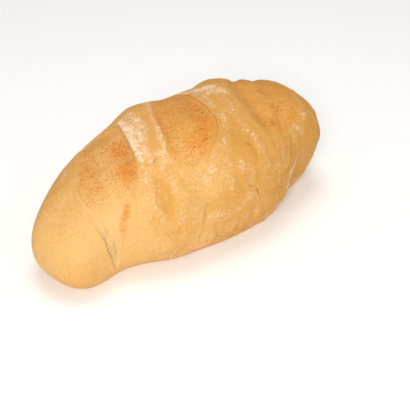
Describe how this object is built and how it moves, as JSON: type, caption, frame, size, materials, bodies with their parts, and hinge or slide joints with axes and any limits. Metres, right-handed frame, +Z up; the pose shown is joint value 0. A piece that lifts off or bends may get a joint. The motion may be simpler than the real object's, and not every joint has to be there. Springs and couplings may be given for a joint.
{
  "type": "bread loaf",
  "caption": "Long white bread loaf, rounded at both ends, with diagonal scores across its back and a flat base.",
  "frame": {"origin": "on the base, at the middle of the footprint's bounding box", "axes": "+X along the loaf, from its narrow, lower end to its broad, higher end; +Z up; the scores drift towards +X as they cross the back towards +Y, and the torn side is -Y"},
  "size_m": [0.32, 0.1558, 0.1153],
  "materials": {
    "crust": "golden baked crust, matt, with white flour left on the skin between the scores"
  },
  "bodies": {
    "root": {"loaf": "crust"}
  },
  "joints": []
}
